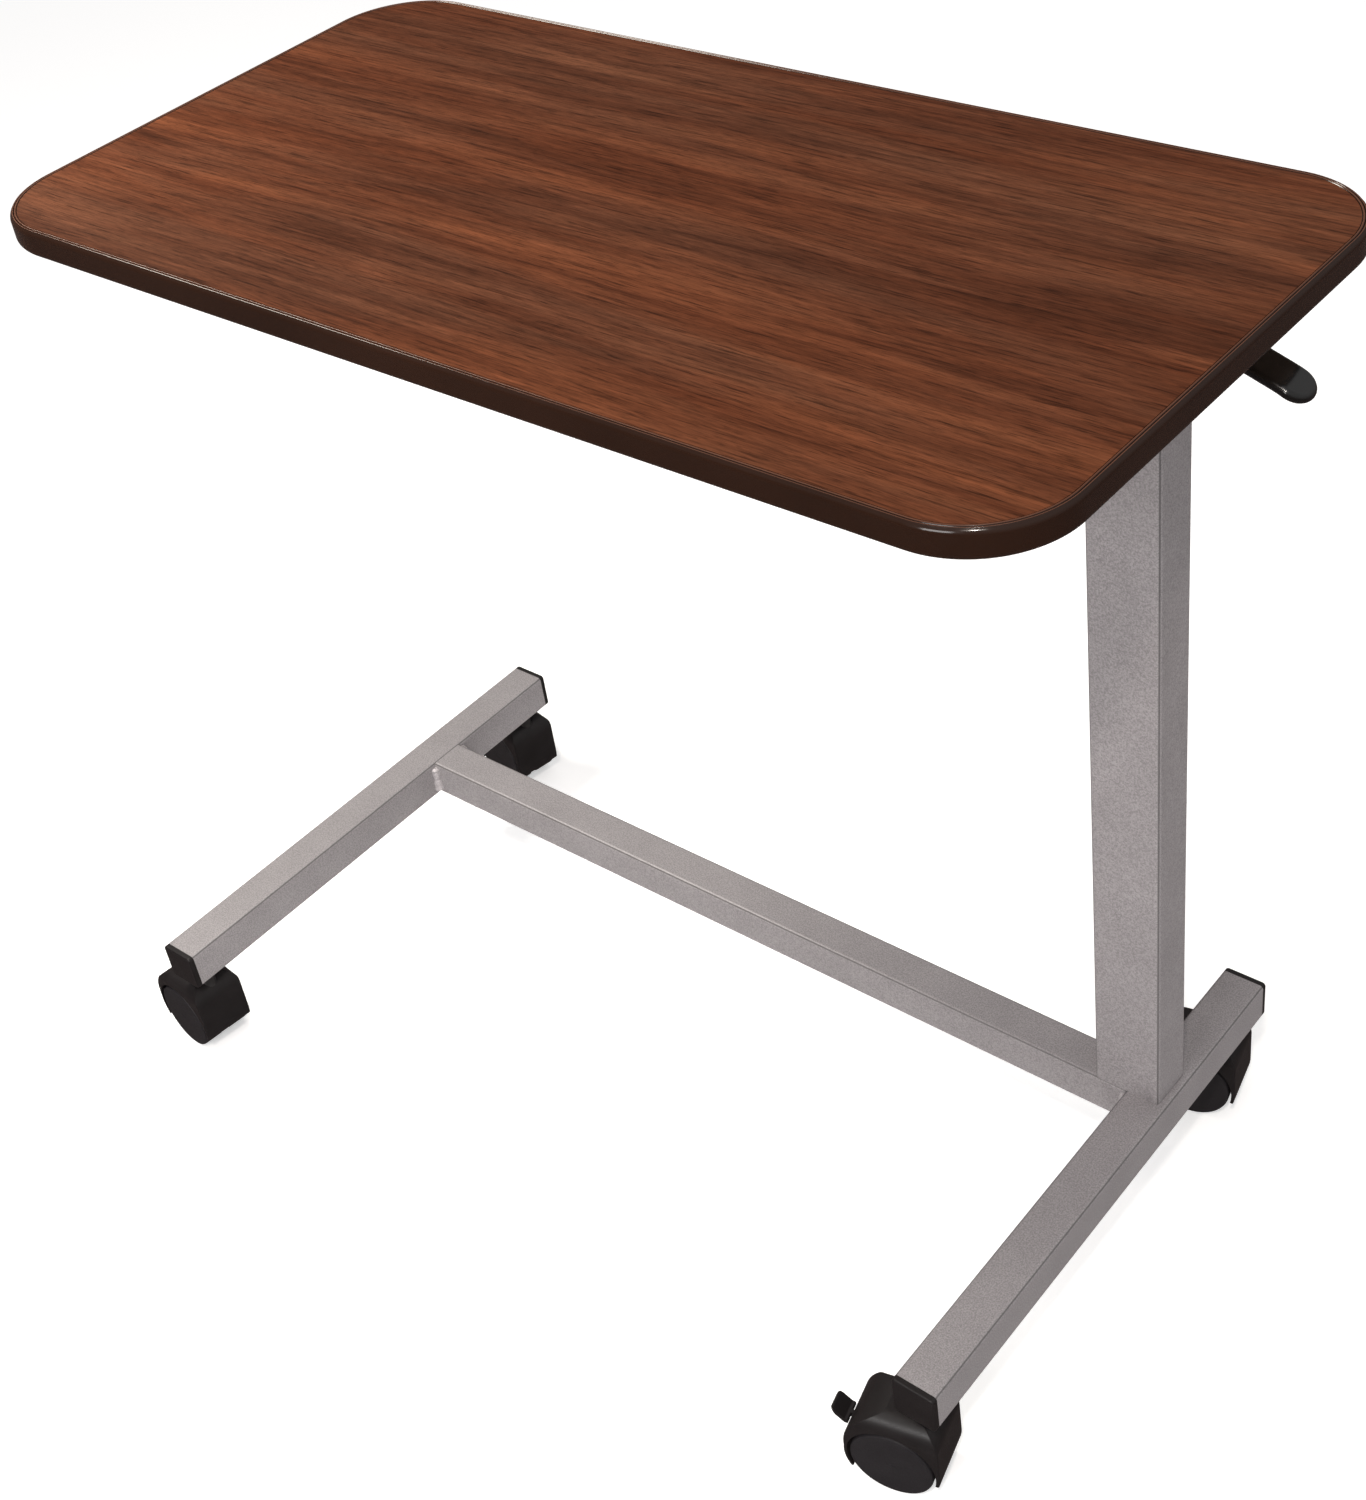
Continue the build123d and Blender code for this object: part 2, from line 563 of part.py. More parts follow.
def caster_wheel():
    """Wheel on the +Y side: blind bore, brake recess, rounded tread and slightly domed disc."""
    profile = polygon(
        [
            (0, WHEEL_IN),
            (WHEEL_R - 1.2, WHEEL_IN),
            (WHEEL_R, WHEEL_IN + 1.2),
            (WHEEL_R, WHEEL_OUT - 2.2),
            (WHEEL_R - 0.5, WHEEL_OUT - 0.9),
            (WHEEL_R - 1.6, WHEEL_OUT - 0.4),
            (0, WHEEL_OUT),
        ]
    )
    wheel = revolve(profile, Axis.Y)
    wheel -= along_y(AXLE_R + RUN, WHEEL_IN - 1, AXLE_HALF + 0.3)
    recess = along_y(RECESS_OUT, WHEEL_IN - 1, WHEEL_IN + RECESS_DEPTH)
    recess -= along_y(RECESS_IN, WHEEL_IN - 2, WHEEL_IN + RECESS_DEPTH + 1)
    wheel -= recess
    return wheel


def brake_pedal():
    """Pedal about the axle centre: forked arm with a cross bar inside, paddle outside."""
    px, pz = BRAKE_PIVOT
    bx, bz = BRAKE_BAR
    pedal = along_y(4.0, -BRAKE_HALF, BRAKE_HALF, px, pz)
    arm = [(px - 3.7, pz + 1.5), (bx - 2.0, bz + 1.0), (bx + 2.0, bz - 0.6), (px + 3.7, pz - 1.5)]
    pedal += plate_xz(polygon(arm), BRAKE_HALF)
    neck = [(px - 1.5, pz + 3.7), (-35.4, 12.4), (-37.6, 9.8), (-35.4, 8.4), (px - 0.5, pz - 3.9)]
    pedal += plate_xz(polygon(neck), BRAKE_HALF)
    paddle = [(-34.9, 8.8), (-37.6, 8.8), (-47.6, 17.8), (-45.9, 20.6), (-37.2, 12.8), (-34.9, 12.2)]
    paddle = plate_xz(polygon(paddle), PEDAL_HALF)
    paddle = fillet(paddle.edges().filter_by(Axis.Y), PEDAL_EDGE)
    plan = RectangleRounded(PEDAL_PLAN, 2 * PEDAL_HALF, PEDAL_CORNER)
    paddle &= Pos(PEDAL_END + PEDAL_PLAN / 2, 0, 0) * extrude(plan, 40, both=True)
    pedal += paddle
    pedal += along_y(BRAKE_BAR_R, -BRAKE_BAR_HALF, BRAKE_BAR_HALF, bx, bz)
    pedal -= along_y(BRAKE_PIN_R + RUN, -5, 5, px, pz)
    return pedal


axle = along_y(AXLE_R, -AXLE_HALF, AXLE_HALF)
right_wheel = caster_wheel()
left_wheel = Rot(0, 0, 180) * right_wheel
stem = upright(STEM_R, WHEEL_R + STEM_SEAT, STEM_TOP)
stem = chamfer(stem.edges().sort_by(Axis.Z)[-1], 1.0)
stem -= upright(STEM_R + 1, STEM_TOP - 7, STEM_TOP - 5) - upright(STEM_R - 0.8, STEM_TOP - 8, STEM_TOP - 4)
plain_hood = caster_hood(False)
braked_hood = caster_hood(True)
pedal = brake_pedal()
brake_pin = along_y(BRAKE_PIN_R, -WEB_HALF, WEB_HALF, BRAKE_PIVOT[0], BRAKE_PIVOT[1])

for side, fx, braked in (("right", FOOT_RIGHT_X, True), ("left", FOOT_LEFT_X, False)):
    for end, sy in (("near", -swivel_y), ("far", swivel_y)):
        tag = side + "_" + end
        at_axle = Pos(fx, sy, 0) * Rot(0, 0, SWIVEL[tag]) * Pos(-TRAIL, 0, WHEEL_R)
        save("hood_" + tag, at_axle * (braked_hood if braked else plain_hood))
        save("axle_" + tag, at_axle * axle)
        save("wheel_" + tag + "_a", at_axle * left_wheel)
        save("wheel_" + tag + "_b", at_axle * right_wheel)
        save("stem_" + tag, Pos(fx, sy, 0) * stem)
        if braked:
            save("pedal_" + tag, at_axle * pedal)
            save("brake_pin_" + tag, at_axle * brake_pin)
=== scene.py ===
import json
import math

import bmesh
import bpy
from mathutils import Euler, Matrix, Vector


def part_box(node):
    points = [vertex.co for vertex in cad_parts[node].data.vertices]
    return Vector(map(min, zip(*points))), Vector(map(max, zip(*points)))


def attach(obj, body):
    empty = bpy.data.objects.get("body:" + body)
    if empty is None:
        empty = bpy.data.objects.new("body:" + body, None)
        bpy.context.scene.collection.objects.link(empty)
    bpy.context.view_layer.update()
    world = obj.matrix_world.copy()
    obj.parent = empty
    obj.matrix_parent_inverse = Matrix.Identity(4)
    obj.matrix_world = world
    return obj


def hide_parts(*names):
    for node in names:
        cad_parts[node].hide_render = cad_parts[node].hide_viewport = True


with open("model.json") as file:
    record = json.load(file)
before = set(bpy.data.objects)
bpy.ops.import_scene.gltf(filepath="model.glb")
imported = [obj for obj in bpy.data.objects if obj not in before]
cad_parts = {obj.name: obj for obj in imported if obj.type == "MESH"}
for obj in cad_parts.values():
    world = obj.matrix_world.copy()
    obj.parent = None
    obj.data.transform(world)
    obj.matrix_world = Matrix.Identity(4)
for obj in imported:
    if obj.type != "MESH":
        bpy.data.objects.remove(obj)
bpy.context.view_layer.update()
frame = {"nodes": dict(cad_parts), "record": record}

NODES = frame["nodes"]
scene = bpy.context.scene

# Colours are linear red, green and blue. Lengths are metres, in the shared frame.
LAMINATE_TONES = [
    (0.34, (0.056, 0.0164, 0.0070)),
    (0.46, (0.078, 0.0240, 0.0109)),
    (0.54, (0.101, 0.0328, 0.0152)),
    (0.66, (0.140, 0.0472, 0.0215)),
]
COAT_LOW = (0.292, 0.273, 0.281)
COAT_HIGH = (0.325, 0.304, 0.313)
COAT_FLECK = (0.62, 0.59, 0.59)
# Painted shade: a dark hairline along the long corners of each coated tube.
EDGE_SHADE_REACH = 0.0014
EDGE_SHADE_DEPTH = 0.75
EDGE_SHADE_TONE = (0.075, 0.070, 0.070)
# The two axes across each coated tube, for its painted shade lines.
TUBE_SECTIONS = {
    "foot_right": (0, 2),
    "foot_left": (0, 2),
    "cross_tube": (1, 2),
    "mast_outer": (0, 1),
}


# ---------------------------------------------------------------- node helpers
class Graph:
    """A small helper round one material's node tree."""

    def __init__(self, name):
        self.material = bpy.data.materials.new(name)
        self.material.use_nodes = True
        self.tree = self.material.node_tree
        self.tree.nodes.clear()
        self.shader = self.add("ShaderNodeBsdfPrincipled")
        out = self.add("ShaderNodeOutputMaterial")
        self.link(self.shader.outputs["BSDF"], out.inputs["Surface"])
        self.coords = self.add("ShaderNodeTexCoord").outputs["Object"]

    def add(self, kind, **settings):
        node = self.tree.nodes.new(kind)
        for key, value in settings.items():
            setattr(node, key, value)
        return node

    def link(self, a, b):
        self.tree.links.new(a, b)

    def fixed(self, **values):
        names = {
            "colour": "Base Color",
            "metallic": "Metallic",
            "roughness": "Roughness",
            "specular": "Specular IOR Level",
            "coat": "Coat Weight",
            "coat_roughness": "Coat Roughness",
        }
        for key, value in values.items():
            self.shader.inputs[names[key]].default_value = value

    def mapped(self, scale, source=None, offset=(0, 0, 0)):
        node = self.add("ShaderNodeMapping")
        node.inputs["Scale"].default_value = scale
        node.inputs["Location"].default_value = offset
        self.link(source or self.coords, node.inputs["Vector"])
        return node.outputs["Vector"]

    def noise(self, vector, scale=1.0, detail=3.0, rough=0.5, distortion=0.0):
        node = self.add("ShaderNodeTexNoise")
        node.inputs["Scale"].default_value = scale
        node.inputs["Detail"].default_value = detail
        node.inputs["Roughness"].default_value = rough
        node.inputs["Distortion"].default_value = distortion
        self.link(vector, node.inputs["Vector"])
        return node.outputs["Fac"]

    def ramp(self, fac, stops):
        node = self.add("ShaderNodeValToRGB")
        elements = node.color_ramp.elements
        while len(elements) < len(stops):
            elements.new(0.5)
        for element, (place, colour) in zip(elements, stops):
            element.position = place
            element.color = colour if len(colour) == 4 else (*colour, 1.0)
        self.link(fac, node.inputs["Fac"])
        return node.outputs["Color"]

    def grey(self, fac, stops):
        return self.ramp(fac, [(p, (v, v, v)) for p, v in stops])

    def maths(self, operation, a, b=None):
        node = self.add("ShaderNodeMath", operation=operation)
        for socket, value in zip(node.inputs, (a, b)):
            if value is None:
                continue
            if isinstance(value, (int, float)):
                socket.default_value = value
            else:
                self.link(value, socket)
        return node.outputs[0]

    def mix(self, fac, a, b, blend="MIX"):
        node = self.add("ShaderNodeMix", data_type="RGBA", blend_type=blend)
        for socket, value in ((node.inputs[0], fac), (node.inputs[6], a), (node.inputs[7], b)):
            if isinstance(value, (int, float)):
                socket.default_value = value
            elif isinstance(value, tuple):
                socket.default_value = (*value, 1.0)
            else:
                self.link(value, socket)
        return node.outputs[2]

    def bump(self, height, strength, distance, normal=None):
        node = self.add("ShaderNodeBump")
        node.inputs["Strength"].default_value = strength
        node.inputs["Distance"].default_value = distance
        self.link(height, node.inputs["Height"])
        if normal is not None:
            self.link(normal, node.inputs["Normal"])
        return node.outputs["Normal"]

    def to(self, name, socket):
        self.link(socket, self.shader.inputs[name])


def laminate():
    """Red-brown wood-look laminate, grain along X."""
    g = Graph("wood_laminate")
    bend = g.noise(g.mapped((1.3, 2.4, 1.0)), 1.0, 2.0)
    shift = g.add("ShaderNodeVectorMath", operation="MULTIPLY_ADD")
    g.link(bend, shift.inputs[0])
    shift.inputs[1].default_value = (0.0, 0.035, 0.0)
    g.link(g.coords, shift.inputs[2])
    wavy = shift.outputs[0]
    broad = g.noise(g.mapped((4.2, 62.0, 1.0), wavy), 1.0, 6.0, 0.58, 0.25)
    wide = g.noise(g.mapped((1.2, 7.0, 1.0), wavy, (2.0, 4.0, 0.0)), 1.0, 2.0, 0.5)
    streak = g.noise(g.mapped((12.0, 300.0, 1.0), wavy, (3.0, 1.0, 0.0)), 1.0, 6.0, 0.66, 0.3)
    dash = g.noise(g.mapped((30.0, 640.0, 1.0), wavy, (5.0, 2.0, 0.0)), 1.0, 4.0, 0.62, 0.2)
    fine = g.noise(g.mapped((90.0, 1300.0, 1.0), wavy, (7.0, 5.0, 0.0)), 1.0, 4.0, 0.62)
    pores = g.noise(g.mapped((120.0, 1900.0, 1.0), wavy, (1.0, 9.0, 0.0)), 1.0, 2.0, 0.5)
    base = g.ramp(g.mix(0.35, broad, wide), LAMINATE_TONES)
    hue = g.noise(g.mapped((2.4, 20.0, 1.0), wavy, (8.0, 3.0, 0.0)), 1.0, 4.0, 0.6, 0.3)
    tint = g.ramp(hue, [(0.38, (0.90, 1.00, 1.10)), (0.62, (1.02, 0.96, 0.90))])
    base = g.mix(1.0, base, tint, "MULTIPLY")
    lines = g.grey(streak, [(0.32, 0.52), (0.46, 0.92), (0.56, 1.04), (0.70, 1.32)])
    colour = g.mix(0.9, base, lines, "MULTIPLY")
    dashes = g.grey(dash, [(0.34, 0.40), (0.45, 0.97), (0.58, 1.04), (0.72, 1.28)])
    colour = g.mix(0.9, colour, dashes, "MULTIPLY")
    hair = g.grey(fine, [(0.32, 0.66), (0.5, 1.0), (0.7, 1.2)])
    colour = g.mix(0.9, colour, hair, "MULTIPLY")
    dots = g.grey(pores, [(0.30, 0.45), (0.40, 1.0), (1.0, 1.0)])
    colour = g.mix(0.7, colour, dots, "MULTIPLY")
    g.to("Base Color", colour)
    g.to("Roughness", g.grey(streak, [(0.3, 0.44), (0.7, 0.36)]))
    g.fixed(specular=0.05)
    g.to("Normal", g.bump(g.mix(0.5, fine, pores), 0.14, 0.0002))
    return g.material


def moulding(name, low, high, rough, specular):
    """Moulded edge plastic with faint scuffs."""
    g = Graph(name)
    tone = g.noise(g.coords, 9.0, 3.0)
    g.to("Base Color", g.ramp(tone, [(0.3, low), (0.7, high)]))
    scuff = g.noise(g.coords, 260.0, 4.0, 0.6)
    g.to("Roughness", g.grey(scuff, [(0.3, rough - 0.04), (0.7, rough + 0.05)]))
    g.fixed(specular=specular)
    g.to("Normal", g.bump(g.noise(g.coords, 900.0, 2.0), 0.03, 0.0001))
    return g.material


def painted_edge_shade(g, obj, across):
    """Mask for a painted shade line along the four long corners of a tube: 1 on the line, 0 away from it.
    """
    split = g.add("ShaderNodeSeparateXYZ")
    g.link(g.coords, split.inputs[0])
    corners = [Vector(c) for c in obj.bound_box]
    insets = []
    for axis in across:
        low = min(c[axis] for c in corners)
        high = max(c[axis] for c in corners)
        offset = g.maths("ABSOLUTE", g.maths("SUBTRACT", split.outputs[axis], (low + high) / 2))
        insets.append(g.maths("SUBTRACT", offset, (high - low) / 2))
    gap = g.maths("ABSOLUTE", g.maths("SUBTRACT", insets[0], insets[1]))
    return g.grey(g.maths("MULTIPLY", gap, 1.0 / EDGE_SHADE_REACH), [(0.25, 1.0), (0.85, 0.0)])


def powder_coat(name, gain=1.0, obj=None, across=(0, 1)):
    """Silver-grey powder coat with a fine texture and pale flecks; given a tube, it also gets painted
    shade lines along the tube's corners.
    """
    g = Graph(name)
    cloud = g.noise(g.coords, 22.0, 4.0, 0.6)
    grain = g.noise(g.coords, 950.0, 3.0, 0.62)
    fleck = g.add("ShaderNodeTexVoronoi", feature="F1")
    fleck.inputs["Scale"].default_value = 1100.0
    g.link(g.coords, fleck.inputs["Vector"])
    tones = [tuple(gain * c for c in tone) for tone in (COAT_LOW, COAT_HIGH)]
    base = g.ramp(cloud, [(0.3, tones[0]), (0.7, tones[1])])
    speck = g.grey(grain, [(0.34, 0.68), (0.5, 1.0), (0.66, 1.30)])
    colour = g.mix(0.85, base, speck, "MULTIPLY")
    spark = g.grey(fleck.outputs["Distance"], [(0.06, 1.0), (0.16, 0.0)])
    colour = g.mix(g.maths("MULTIPLY", spark, 0.30), colour, COAT_FLECK)
    if obj is not None:
        # Painted shade: darken the coat along the tube's corners.
        line = g.maths("MULTIPLY", painted_edge_shade(g, obj, across), EDGE_SHADE_DEPTH)
        colour = g.mix(line, colour, EDGE_SHADE_TONE)
    g.to("Base Color", colour)
    g.to("Roughness", g.grey(grain, [(0.3, 0.42), (0.7, 0.54)]))
    g.fixed(metallic=0.2, specular=0.5)
    first = g.bump(g.noise(g.coords, 380.0, 3.0), 0.14, 0.0006)
    g.to("Normal", g.bump(grain, 0.26, 0.0003, first))
    return g.material


def plastic(name, low, high, rough, texture=700.0, strength=0.12, coat=0.0):
    """Moulded plastic with a faint grain."""
    g = Graph(name)
    tone = g.noise(g.coords, 60.0, 3.0)
    g.to("Base Color", g.ramp(tone, [(0.3, low), (0.7, high)]))
    grain = g.noise(g.coords, texture, 3.0, 0.6)
    g.to("Roughness", g.grey(grain, [(0.3, rough - 0.05), (0.7, rough + 0.06)]))
    g.fixed(specular=0.3, coat=coat, coat_roughness=0.1)
    g.to("Normal", g.bump(grain, strength, 0.0002))
    return g.material


def metal(name, low, high, rough, along=(1, 1, 1), scale=400.0, metallic=1.0):
    """Bare or plated steel with a drawn or tumbled finish."""
    g = Graph(name)
    grain = g.noise(g.mapped(along), scale, 4.0, 0.6)
    g.to("Base Color", g.ramp(g.noise(g.coords, 35.0, 3.0), [(0.3, low), (0.7, high)]))
    g.to("Roughness", g.grey(grain, [(0.3, rough - 0.07), (0.7, rough + 0.08)]))
    g.fixed(metallic=metallic, specular=0.5)
    g.to("Normal", g.bump(grain, 0.10, 0.0002))
    return g.material


def board():
    """Pressed-chip core."""
    g = Graph("particle_board")
    chips = g.add("ShaderNodeTexVoronoi", feature="F1")
    chips.inputs["Scale"].default_value = 420.0
    g.link(g.mapped((1.0, 1.0, 2.2)), chips.inputs["Vector"])
    tones = [(0.1, (0.30, 0.20, 0.11)), (0.9, (0.52, 0.38, 0.23))]
    g.to("Base Color", g.ramp(chips.outputs["Color"], tones))
    g.fixed(roughness=0.85)
    return g.material


MATERIALS = {
    "wood_laminate": laminate(),
    "edge_moulding": moulding(
        "edge_moulding", (0.0155, 0.0064, 0.0036), (0.0210, 0.0086, 0.0048), 0.14, 0.30
    ),
    # Painted highlight: lighter red-brown for the crests of the lip beads.
    "edge_lip_highlight": moulding("edge_lip_highlight", (0.085, 0.036, 0.022), (0.105, 0.045, 0.028), 0.30, 0.12),
    "powder_coat": powder_coat("powder_coat"),
    # Painted light: the same powder coat made 1.45 times lighter, used on the weld beads.
    "bead_coat_painted_light": powder_coat("bead_coat_painted_light", 1.45),
    "particle_board": board(),
    "backing_sheet": plastic(
        "backing_sheet", (0.10, 0.062, 0.040), (0.12, 0.075, 0.050), 0.62, 500.0
    ),
    "dark_steel": metal(
        "dark_steel", (0.030, 0.030, 0.032), (0.045, 0.045, 0.048), 0.46, metallic=0.3
    ),
    "bright_steel": metal(
        "bright_steel", (0.46, 0.45, 0.46), (0.54, 0.53, 0.54), 0.30, (1, 1, 0.02), metallic=0.5
    ),
    "chromed_rod": metal(
        "chromed_rod", (0.66, 0.66, 0.68), (0.72, 0.72, 0.74), 0.14, metallic=0.8
    ),
    "zinc_screw": metal("zinc_screw", (0.50, 0.50, 0.49), (0.60, 0.60, 0.57), 0.34),
    "stem_steel": metal(
        "stem_steel", (0.040, 0.038, 0.038), (0.060, 0.057, 0.057), 0.40, metallic=0.6
    ),
    "black_plastic": plastic(
        "black_plastic", (0.0100, 0.0082, 0.0086), (0.0135, 0.0113, 0.0118), 0.40
    ),
    "wheel_nylon": plastic(
        "wheel_nylon", (0.0145, 0.0128, 0.0148), (0.0180, 0.0160, 0.0184), 0.52, 900.0
    ),
    "dipped_grip": plastic(
        "dipped_grip", (0.0045, 0.0042, 0.0042), (0.0065, 0.0060, 0.0060), 0.17, 120.0, 0.05, 0.5
    ),
    "nylon": plastic("nylon", (0.62, 0.60, 0.55), (0.68, 0.66, 0.60), 0.48),
}
SLOT_OF = {s["node"]: s["material_slot"] for s in frame["record"]["subparts"]}
for tube, across in TUBE_SECTIONS.items():
    MATERIALS[tube] = powder_coat("powder_coat_edge_shade_" + tube, 1.0, NODES[tube], across)


def look_of(name):
    """Tubes have their own painted shade lines along their edges and caster stems get a dark steel
    colour; the rest follow their slot.
    """
    if name in TUBE_SECTIONS:
        return name
    # Caster stems are given a dark steel colour in place of the zinc of their slot.
    if name.startswith("stem_") and name != "stem_sockets":
        return "stem_steel"
    return SLOT_OF[name]


def paint(obj, look):
    obj.data.materials.clear()
    obj.data.materials.append(MATERIALS[look])


def smooth(obj, angle):
    """Smooth shading with real edges kept sharp and flat faces kept flat."""
    mesh = obj.data
    mesh.polygons.foreach_set("use_smooth", [True] * len(mesh.polygons))
    mesh.set_sharp_from_angle(angle=math.radians(angle))
    mod = obj.modifiers.new("weighted", "WEIGHTED_NORMAL")
    mod.keep_sharp = True
    mod.weight = 90


SMOOTH_ANGLE = 34.0
WHEEL_ANGLE = 50.0
for name, obj in NODES.items():
    paint(obj, look_of(name))
    smooth(obj, WHEEL_ANGLE if name.startswith("wheel_") else SMOOTH_ANGLE)


# ---------------------------------------------------------------- pieces modelled here
def piece(name, vertices, faces, node, body, slot_name, face_looks=None, looks=()):
    """A closed mesh in the shared frame that stands for one CAD node."""
    mesh = bpy.data.meshes.new(name)
    mesh.from_pydata([tuple(v) for v in vertices], [], faces)
    for look in looks or (slot_name,):
        mesh.materials.append(MATERIALS[look])
    if face_looks:
        mesh.polygons.foreach_set("material_index", face_looks)
    work = bmesh.new()
    work.from_mesh(mesh)
    bmesh.ops.remove_doubles(work, verts=work.verts, dist=1e-6)
    bmesh.ops.dissolve_degenerate(work, edges=work.edges, dist=1e-7)
    bmesh.ops.recalc_face_normals(work, faces=work.faces)
    work.to_mesh(mesh)
    work.free()
    obj = bpy.data.objects.new(name, mesh)
    scene.collection.objects.link(obj)
    smooth(obj, SMOOTH_ANGLE)
    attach(obj, body)
    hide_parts(node)
    return obj


def rings_to_faces(count, size, closed_path):
    """Quads between successive rings of equal size."""
    faces = []
    for i in range(count if closed_path else count - 1):
        j = (i + 1) % count
        for k in range(size):
            m = (k + 1) % size
            faces.append((i * size + k, j * size + k, j * size + m, i * size + m))
    return faces


# Edge moulding: dark nose outside, two small beads and a groove beside the laminate, with a painted
# highlight in lighter red-brown on the bead crests.
BAND_NOSE = 0.004
BAND_CORNER = 0.060
BAND_WIDTH = 0.005
NOSE_STEPS = 8
TOP_NOSE_TURN = math.radians(52.0)
TOP_NOSE_STEPS = 6
CORNER_STEPS = 32
HIGHLIGHT_CREST = -0.00035
# Inset and height of the beads and the groove, in millimetres from the rim.
LIP = [
    (1.75, -0.42),
    (2.00, -0.26),
    (2.30, -0.20),
    (2.60, -0.30),
    (2.85, -0.60),
    (3.05, -0.85),
    (3.25, -0.60),
    (3.45, -0.22),
    (3.75, -0.03),
    (4.10, -0.03),
    (4.40, -0.22),
    (4.62, -0.55),
    (4.80, -0.80),
    (5.00, -0.80),
]


def edge_moulding():
    """Rounded nose with a beaded lip, swept round the top's outline."""
    lo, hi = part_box("edge_band")
    depth = hi.z - lo.z
    section = [(BAND_WIDTH, -depth)]
    for k in range(NOSE_STEPS + 1):
        a = math.pi / 2 * k / NOSE_STEPS
        section.append((BAND_NOSE * (1 - math.sin(a)), -depth + BAND_NOSE * (1 - math.cos(a))))
    for k in range(TOP_NOSE_STEPS + 1):
        a = TOP_NOSE_TURN * k / TOP_NOSE_STEPS
        section.append((BAND_NOSE * (1 - math.cos(a)), -BAND_NOSE + BAND_NOSE * math.sin(a)))
    dark = len(section)
    section += [(d / 1000, z / 1000) for d, z in LIP]
    centre = (lo + hi) / 2
    half_x, half_y = (hi.x - lo.x) / 2, (hi.y - lo.y) / 2
    vertices = []
    stations = 0
    for sx, sy, first in ((1, 1, 0), (-1, 1, 90), (-1, -1, 180), (1, -1, 270)):
        cx = centre.x + sx * (half_x - BAND_CORNER)
        cy = centre.y + sy * (half_y - BAND_CORNER)
        for k in range(CORNER_STEPS + 1):
            a = math.radians(first + 90.0 * k / CORNER_STEPS)
            stations += 1
            for d, z in section:
                r = BAND_CORNER - d
                vertices.append((cx + r * math.cos(a), cy + r * math.sin(a), hi.z + z))
    faces = rings_to_faces(stations, len(section), True)
    # Painted highlight: faces of the lip that rise above the crest height get the lighter lip colour.
    heights = [z for _, z in section]
    highlight_crest = [
        k >= dark and min(heights[k], heights[k + 1]) > HIGHLIGHT_CREST for k in range(len(section) - 1)
    ]
    highlight_crest.append(False)
    kinds = [int(highlight_crest[i % len(section)]) for i in range(len(faces))]
    looks = ("edge_moulding", "edge_lip_highlight")
    return piece(
        "edge_moulding", vertices, faces, "edge_band", "top", "edge_moulding", kinds, looks
    )


edge_moulding()


# Lever grip: rounded paddle that follows the bent lever.
GRIP_START = 0.018
GRIP_BEND = 0.064
GRIP_TIP = 0.0141
GRIP_HALF_THICKNESS = 0.0032
GRIP_SLOPE = math.radians(19.5)
GRIP_TIP_SLOPE = math.radians(28.0)
BEND_LEAD = 0.006
BEND_LENGTH = 0.010
CURVE_STEPS = 160
GRIP_LAYERS = 12
STRAIGHT_STEPS = 14
ROUND_STEPS = 18


def lever_grip():
    """Stack of paddle outlines, inset towards both faces so that the edges are full rounds."""
    lo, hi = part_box("lever_grip")
    pin_lo, pin_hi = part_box("lever_pin")
    pivot = (pin_lo + pin_hi) / 2
    half_w = (hi.y - lo.y) / 2
    length = GRIP_BEND + GRIP_TIP

    def on_curve(s):
        """Place and slope of the handle's middle line at run s from the pivot."""
        x, z = pivot.x, pivot.z
        for k in range(CURVE_STEPS):
            t = s * (k + 0.5) / CURVE_STEPS
            f = min(max((t - GRIP_BEND + BEND_LEAD) / BEND_LENGTH, 0.0), 1.0)
            a = GRIP_SLOPE + (GRIP_TIP_SLOPE - GRIP_SLOPE) * f * f * (3 - 2 * f)
            x += math.cos(a) * s / CURVE_STEPS
            z -= math.sin(a) * s / CURVE_STEPS
        return x, z, a

    layers = [math.radians(-90 + 180 * k / GRIP_LAYERS) for k in range(GRIP_LAYERS + 1)]
    per = STRAIGHT_STEPS + ROUND_STEPS
    vertices = []
    for layer in layers:
        inset = GRIP_HALF_THICKNESS * (1 - math.cos(layer))
        height = GRIP_HALF_THICKNESS * math.sin(layer)
        r = half_w - inset
        for k in range(per):
            if k < STRAIGHT_STEPS:
                s = GRIP_START + inset + (length - half_w - GRIP_START - inset) * k / STRAIGHT_STEPS
                w = r
            else:
                a = math.pi / 2 * (k - STRAIGHT_STEPS) / (ROUND_STEPS - 1)
                s = length - half_w + r * math.sin(a)
                w = r * math.cos(a)
            x, z, slope = on_curve(s)
            for side in (-1, 1):
                vertices.append(
                    (x + height * math.sin(slope), pivot.y + side * w, z + height * math.cos(slope))
                )
    ring = per * 2
    faces = []
    for i in range(len(layers) - 1):
        a, b = i * ring, (i + 1) * ring
        for k in range(per - 1):
            for side in (0, 1):
                p, q = 2 * k + side, 2 * k + 2 + side
                faces.append((a + p, a + q, b + q, b + p))
        faces.append((a, b, b + 1, a + 1))
    for base in (0, (len(layers) - 1) * ring):
        for k in range(per - 1):
            p = base + 2 * k
            faces.append((p, p + 2, p + 3, p + 1))
    return piece("lever_grip_dip", vertices, faces, "lever_grip", "lever", "dipped_grip")


lever_grip()


# Weld beads: rippled fillets in the corners of the frame, in a lighter copy of the powder coat as painted
# light.
BEAD_LEG = 0.0046
BEAD_RIPPLE = 0.0011
BEAD_PITCH = 0.0038
BEAD_STEP = 0.00045
BEAD_ARC = 9
BEAD_HOLLOW = 0.18
BEAD_TAPER = 0.004
BEAD_END = 0.55
BEAD_SAG = 0.0012
SEED_STEP = 1.7
FOOT_CORNER = 0.003


